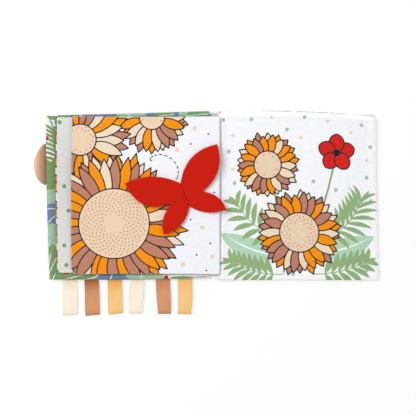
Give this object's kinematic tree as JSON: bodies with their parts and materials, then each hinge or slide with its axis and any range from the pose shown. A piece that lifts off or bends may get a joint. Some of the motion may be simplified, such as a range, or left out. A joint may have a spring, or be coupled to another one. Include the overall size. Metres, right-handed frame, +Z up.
{
  "type": "crinkle cloth book",
  "caption": "Soft cloth book lying open: padded covers, crackling leaves, a felt butterfly on a page, ribbon tags below and a plush ear at the side.",
  "frame": {"origin": "underside of the spine, on the gutter line, where the open book lies on a table", "axes": "+X along the open book, from the front cover towards the back cover; +Y towards the pages' upper edge; +Z up, out of the pages"},
  "size_m": [0.3538, 0.2091, 0.0147],
  "materials": {
    "printed_velour": "short-pile velour printed with leaves, rolled at the edge",
    "striped_cotton": "plain-weave cotton printed with outlined stripes",
    "page_cotton": "white plain-weave cotton, printed",
    "wadding": "bonded polyester wadding",
    "crinkle_film": "thin crackling film, finely creased",
    "binding_tape": "woven cotton tape",
    "red_felt": "pressed felt with short loose fibres",
    "tan_plush": "short-pile plush",
    "cream_satin": "satin ribbon with woven edges",
    "brown_satin": "satin ribbon with woven edges",
    "gold_satin": "satin ribbon with woven edges"
  },
  "bodies": {
    "spine_and_leaf_1": {"spine_outer": "printed_velour", "spine_lining": "page_cotton", "leaf_binding": "binding_tape", "leaf_1_back_sheet": "page_cotton", "leaf_1_crinkle_film": "crinkle_film", "leaf_1_front_sheet": "page_cotton"},
    "front_cover": {"front_cover_outer": "printed_velour", "front_cover_wadding": "wadding", "front_cover_lining": "striped_cotton"},
    "leaf_2": {"leaf_2_back_sheet": "page_cotton", "leaf_2_crinkle_film": "crinkle_film", "leaf_2_front_sheet": "page_cotton", "butterfly_body": "red_felt"},
    "left_wings": {"butterfly_left_wings": "red_felt"},
    "right_wings": {"butterfly_right_wings": "red_felt"},
    "back_cover": {"back_cover_outer": "printed_velour", "back_cover_crinkle_film": "crinkle_film", "back_cover_wadding": "wadding", "back_cover_page": "page_cotton"},
    "ear": {"ear_front": "tan_plush", "ear_back": "tan_plush"},
    "ribbon_tag_1": {"ribbon_1": "cream_satin"},
    "ribbon_tag_2": {"ribbon_2": "brown_satin"},
    "ribbon_tag_3": {"ribbon_3": "gold_satin"},
    "ribbon_tag_4": {"ribbon_4": "cream_satin"},
    "ribbon_tag_5": {"ribbon_5": "brown_satin"},
    "ribbon_tag_6": {"ribbon_6": "gold_satin"}
  },
  "joints": [
    {"name": "front_cover_fold", "type": "hinge", "parent": "spine_and_leaf_1", "child": "front_cover", "pos_m": [-0.00855, 0, -0.0002], "axis": [0, -1, 0], "range_deg": [0, 172]},
    {"name": "leaf_2_turn", "type": "hinge", "parent": "spine_and_leaf_1", "child": "leaf_2", "pos_m": [0.001, 0, 0.01], "axis": [0, 1, 0], "range_deg": [0, 150]},
    {"name": "back_cover_turn", "type": "hinge", "parent": "spine_and_leaf_1", "child": "back_cover", "pos_m": [0.004, 0, 0.0092], "axis": [0, 1, 0], "range_deg": [-172, 0]},
    {"name": "left_wings_lift", "type": "hinge", "parent": "leaf_2", "child": "left_wings", "pos_m": [-0.0354, 0.0016, 0.011], "axis": [-0.3598, 0.933, 0], "range_deg": [-3, 35]},
    {"name": "right_wings_lift", "type": "hinge", "parent": "leaf_2", "child": "right_wings", "pos_m": [-0.0354, 0.0016, 0.011], "axis": [0.3598, -0.933, 0], "range_deg": [-1.5, 4]},
    {"name": "ear_fold", "type": "hinge", "parent": "front_cover", "child": "ear", "pos_m": [-0.17885, 0.03316, 0.0021], "axis": [-0.0244, 0.9997, 0], "range_deg": [-80, 80]},
    {"name": "ribbon_1_swing", "type": "hinge", "parent": "front_cover", "child": "ribbon_tag_1", "pos_m": [-0.15407, -0.08608, 0.0021], "axis": [-1, 0, 0], "range_deg": [-90, 90]},
    {"name": "ribbon_2_swing", "type": "hinge", "parent": "front_cover", "child": "ribbon_tag_2", "pos_m": [-0.13163, -0.08594, 0.0021], "axis": [-1, 0, 0], "range_deg": [-90, 90]},
    {"name": "ribbon_3_swing", "type": "hinge", "parent": "front_cover", "child": "ribbon_tag_3", "pos_m": [-0.10766, -0.0858, 0.0021], "axis": [-1, 0, 0], "range_deg": [-90, 90]},
    {"name": "ribbon_4_swing", "type": "hinge", "parent": "front_cover", "child": "ribbon_tag_4", "pos_m": [-0.08454, -0.08566, 0.0021], "axis": [-1, 0, 0], "range_deg": [-90, 90]},
    {"name": "ribbon_5_swing", "type": "hinge", "parent": "front_cover", "child": "ribbon_tag_5", "pos_m": [-0.05819, -0.0855, 0.0021], "axis": [-1, 0, 0], "range_deg": [-90, 90]},
    {"name": "ribbon_6_swing", "type": "hinge", "parent": "front_cover", "child": "ribbon_tag_6", "pos_m": [-0.03524, -0.08536, 0.0021], "axis": [-1, 0, 0], "range_deg": [-90, 90]}
  ]
}
